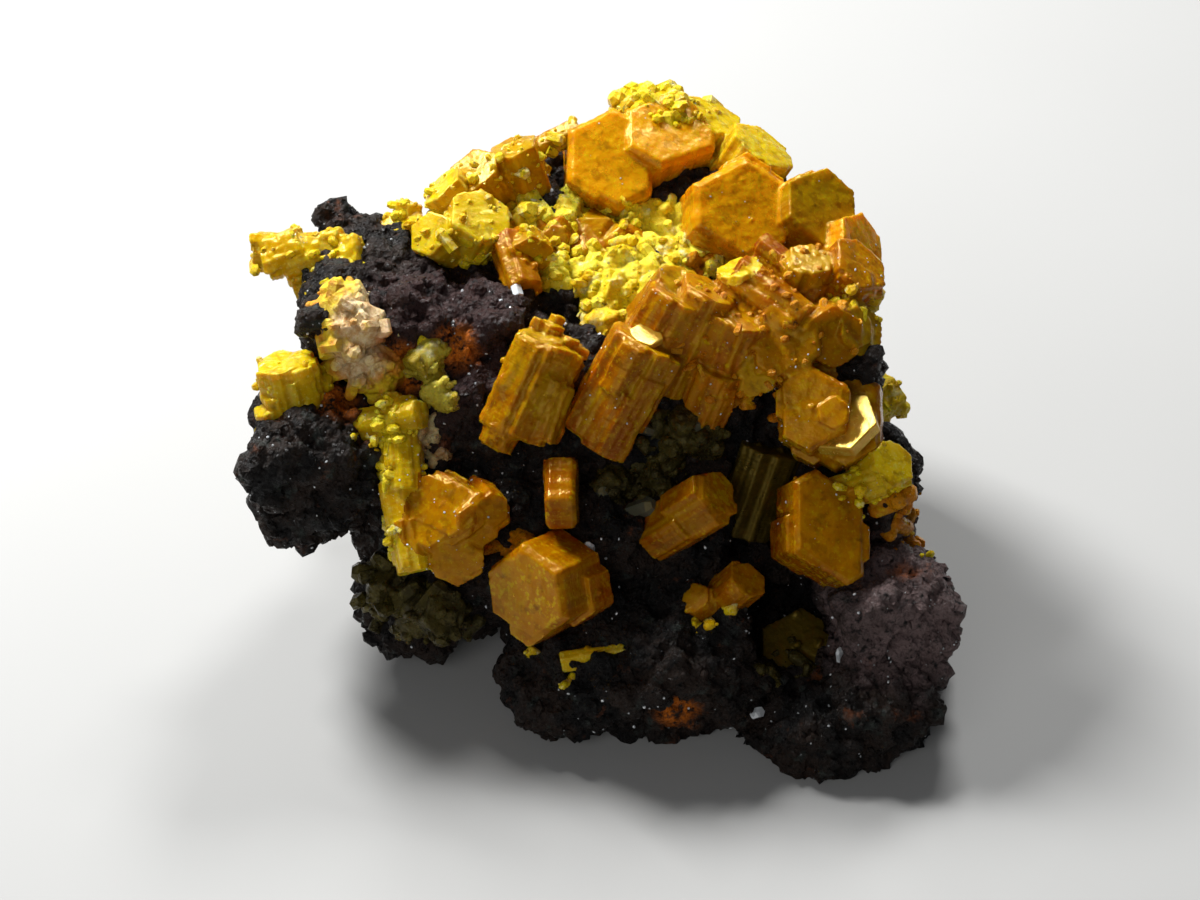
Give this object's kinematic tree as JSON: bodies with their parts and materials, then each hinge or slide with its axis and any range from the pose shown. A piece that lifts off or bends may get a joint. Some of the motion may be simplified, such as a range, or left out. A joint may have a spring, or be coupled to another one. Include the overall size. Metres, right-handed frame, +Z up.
{
  "type": "mimetite on matrix",
  "caption": "Mineral hand specimen: orange-yellow hexagonal tablets and stubby prisms with knobbly yellow crusts on a dark, pitted, rust-stained block of rock that rests on a flat underside.",
  "frame": {"origin": "centre of the specimen's bounding box, on the flat underside that it rests on", "axes": "+Z up, +X to the right as the main face is seen, +Y away from the viewer; the longest side lies along X"},
  "size_m": [0.0289, 0.0272, 0.0176],
  "materials": {
    "gossan": "rough broken rock, black-brown with rust-orange and lilac-grey patches",
    "amber_crystal": "resinous to greasy lustre, orange with paler yellow rims",
    "yellow_crystal": "resinous lustre, bright lemon to sulphur yellow",
    "olive_crystal": "dull resinous lustre, dark olive"
  },
  "bodies": {
    "root": {"matrix": "gossan", "front_tablet": "amber_crystal", "edge_tablet": "amber_crystal", "slope_prism": "amber_crystal", "left_rosette": "yellow_crystal", "ribbed_block": "amber_crystal", "ridge_cluster": "amber_crystal", "lower_right_tablet": "amber_crystal", "summit_cluster": "amber_crystal", "top_left_crust": "yellow_crystal", "yellow_column": "yellow_crystal", "hanging_prism": "amber_crystal", "left_wing": "yellow_crystal", "broken_plate": "yellow_crystal", "left_block": "yellow_crystal", "shoulder_sprig": "olive_crystal", "shaded_prism": "olive_crystal", "deep_crystal": "olive_crystal", "hollow_crust": "olive_crystal", "foot_crystals": "amber_crystal", "foot_blade": "yellow_crystal", "underside_crust": "olive_crystal", "back_crystals": "amber_crystal", "right_crystals": "yellow_crystal", "left_side_crystals": "yellow_crystal"}
  },
  "joints": []
}
